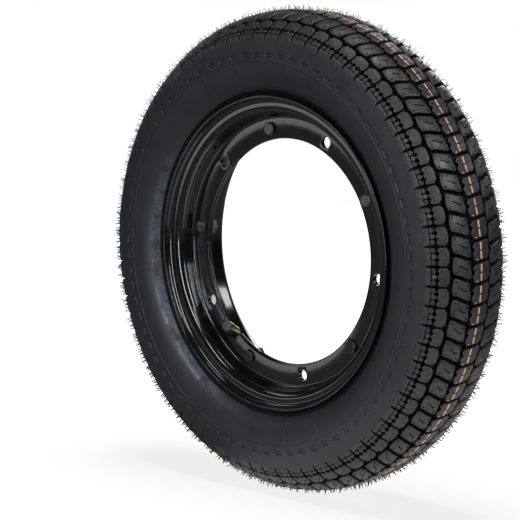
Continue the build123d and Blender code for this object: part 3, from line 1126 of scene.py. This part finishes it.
view_azimuth = math.radians(44.505)
view_elevation = math.radians(6.933)
view_distance = 1981.2
view_shift = Vector((0.0, 2.5, 0.0))
aim_right, aim_up = -34.99, -8.653
back = Vector(
    (
        math.sin(view_azimuth) * math.cos(view_elevation),
        -math.cos(view_azimuth) * math.cos(view_elevation),
        math.sin(view_elevation),
    )
)
right = Vector((0, 0, 1)).cross(back).normalized()
up = back.cross(right)
eye = (back * view_distance + view_shift) * MM
aim = (right * aim_right + up * aim_up + view_shift) * MM
camera_data = bpy.data.cameras.new("camera")
camera_data.sensor_width = 36.0
camera_data.lens = 152.5
camera = bpy.data.objects.new("camera", camera_data)
camera.location = eye
camera.rotation_mode = "QUATERNION"
camera.rotation_quaternion = (aim - eye).to_track_quat("-Z", "Y")
bpy.context.scene.collection.objects.link(camera)
bpy.context.scene.camera = camera


# Floor, world and lamps

floor_material, tree, shader = node_material("floor_white")
shader.inputs["Base Color"].default_value = (0.9, 0.9, 0.9, 1.0)
shader.inputs["Roughness"].default_value = 0.9
shader.inputs["Specular IOR Level"].default_value = 0.0
shader.inputs["Emission Color"].default_value = (1.0, 1.0, 1.0, 1.0)
light_path = tree.nodes.new("ShaderNodeLightPath")
tree.links.new(light_path.outputs["Is Camera Ray"], shader.inputs["Emission Strength"])

floor_level = -tyre_radius * MM
floor_left, floor_right, floor_near, floor_far = -1.7, 2.2, -1.6, 2.6
floor_axis = Vector((right.x, right.y, 0)).normalized()
floor_depth = Vector((-back.x, -back.y, 0)).normalized()
floor_mesh = bpy.data.meshes.new("floor")
corners = ((floor_left, floor_near), (floor_right, floor_near))
corners += ((floor_right, floor_far), (floor_left, floor_far))
floor_points = [floor_axis * a + floor_depth * b + Vector((0, 0, floor_level)) for a, b in corners]
floor_mesh.from_pydata(floor_points, [], [(0, 1, 2, 3)])
floor_mesh.materials.append(floor_material)
floor = bpy.data.objects.new("floor", floor_mesh)
floor.is_shadow_catcher = True
bpy.context.scene.collection.objects.link(floor)

# The world is white behind the wheel and a dim room in front of it; the camera always sees white
room_strength = 0.025
world = bpy.data.worlds.new("studio")
bpy.context.scene.world = world
world.use_nodes = True
tree = world.node_tree
room = tree.nodes["Background"]
room.inputs["Color"].default_value = (0.9, 0.94, 1.0, 1.0)
direction = tree.nodes.new("ShaderNodeTexCoord").outputs["Generated"]
behind = span(tree, vector_value(tree, "DOT_PRODUCT", direction, floor_depth), 0.0, 1.0, (0.86, 0.95))
room.inputs["Strength"].default_value = room_strength
white = tree.nodes.new("ShaderNodeBackground")
white.inputs["Color"].default_value = (1.0, 1.0, 1.0, 1.0)
white.inputs["Strength"].default_value = 1.0
light_path = tree.nodes.new("ShaderNodeLightPath")
glossy, through = light_path.outputs["Is Glossy Ray"], light_path.outputs["Is Transmission Ray"]
mirrored = calculate(tree, "MULTIPLY", calculate(tree, "MAXIMUM", glossy, through), behind)
seen = calculate(tree, "MAXIMUM", light_path.outputs["Is Camera Ray"], mirrored)
blend = tree.nodes.new("ShaderNodeMixShader")
tree.links.new(seen, blend.inputs["Fac"])
tree.links.new(room.outputs["Background"], blend.inputs[1])
tree.links.new(white.outputs["Background"], blend.inputs[2])
tree.links.new(blend.outputs["Shader"], tree.nodes["World Output"].inputs["Surface"])

# The lamps round the wheel leave the floor to a lamp of its own, which keeps the shadow soft
off_floor = bpy.data.collections.new("off_floor")
off_floor.objects.link(floor)
off_floor.collection_objects[0].light_linking.link_state = "EXCLUDE"
only_floor = bpy.data.collections.new("only_floor")
only_floor.objects.link(floor)


def softbox(name, place, size, power, colour=(1.0, 1.0, 1.0), aim_at=(0.0, 0.0, 0.0), lights=off_floor):
    """A rectangular area lamp, out of the camera's sight."""
    data = bpy.data.lights.new(name, "AREA")
    data.shape = "RECTANGLE"
    data.size, data.size_y = size
    data.energy = power
    data.color = colour
    lamp = bpy.data.objects.new(name, data)
    lamp.location = place
    lamp.rotation_mode = "QUATERNION"
    lamp.rotation_quaternion = (Vector(aim_at) - Vector(place)).to_track_quat("-Z", "Y")
    lamp.visible_camera = False
    lamp.light_linking.receiver_collection = lights
    bpy.context.scene.collection.objects.link(lamp)


softbox("strip_front", (0.34, -1.55, 0.35), (0.16, 1.3), 12, (0.86, 0.93, 1.0))
softbox("front_high", (-0.2, -1.45, 1.2), (0.6, 0.3), 3.5)
softbox("above", (1.0, -1.1, 1.3), (0.6, 0.35), 3.0)
softbox("right", (1.6, -0.25, 1.1), (0.45, 0.7), 13)
softbox("right_mid", (1.75, -0.35, 0.55), (0.4, 0.5), 4.5)
softbox("far_right", (0.9, 1.6, 0.9), (0.4, 0.4), 3.5)
softbox("top", (0.0, 0.0, 1.9), (0.6, 0.5), 10.5)
softbox("back", (-0.7, 1.7, 0.8), (0.6, 0.6), 9)
softbox("left_high", (-1.5, -0.9, 1.0), (0.4, 0.6), 1.5)
softbox("left_low", (-1.3, -1.3, -0.05), (0.5, 0.25), 0.6)
softbox("floor_bounce", (0.28, 0.0, floor_level + 0.004), (0.7, 0.5), 0.9, aim_at=(0.28, 0.0, 1.0))
softbox("over_floor", (0.0, 0.0, 2.2), (0.9, 0.9), 12, lights=only_floor)

bpy.context.scene.view_settings.view_transform = "Standard"
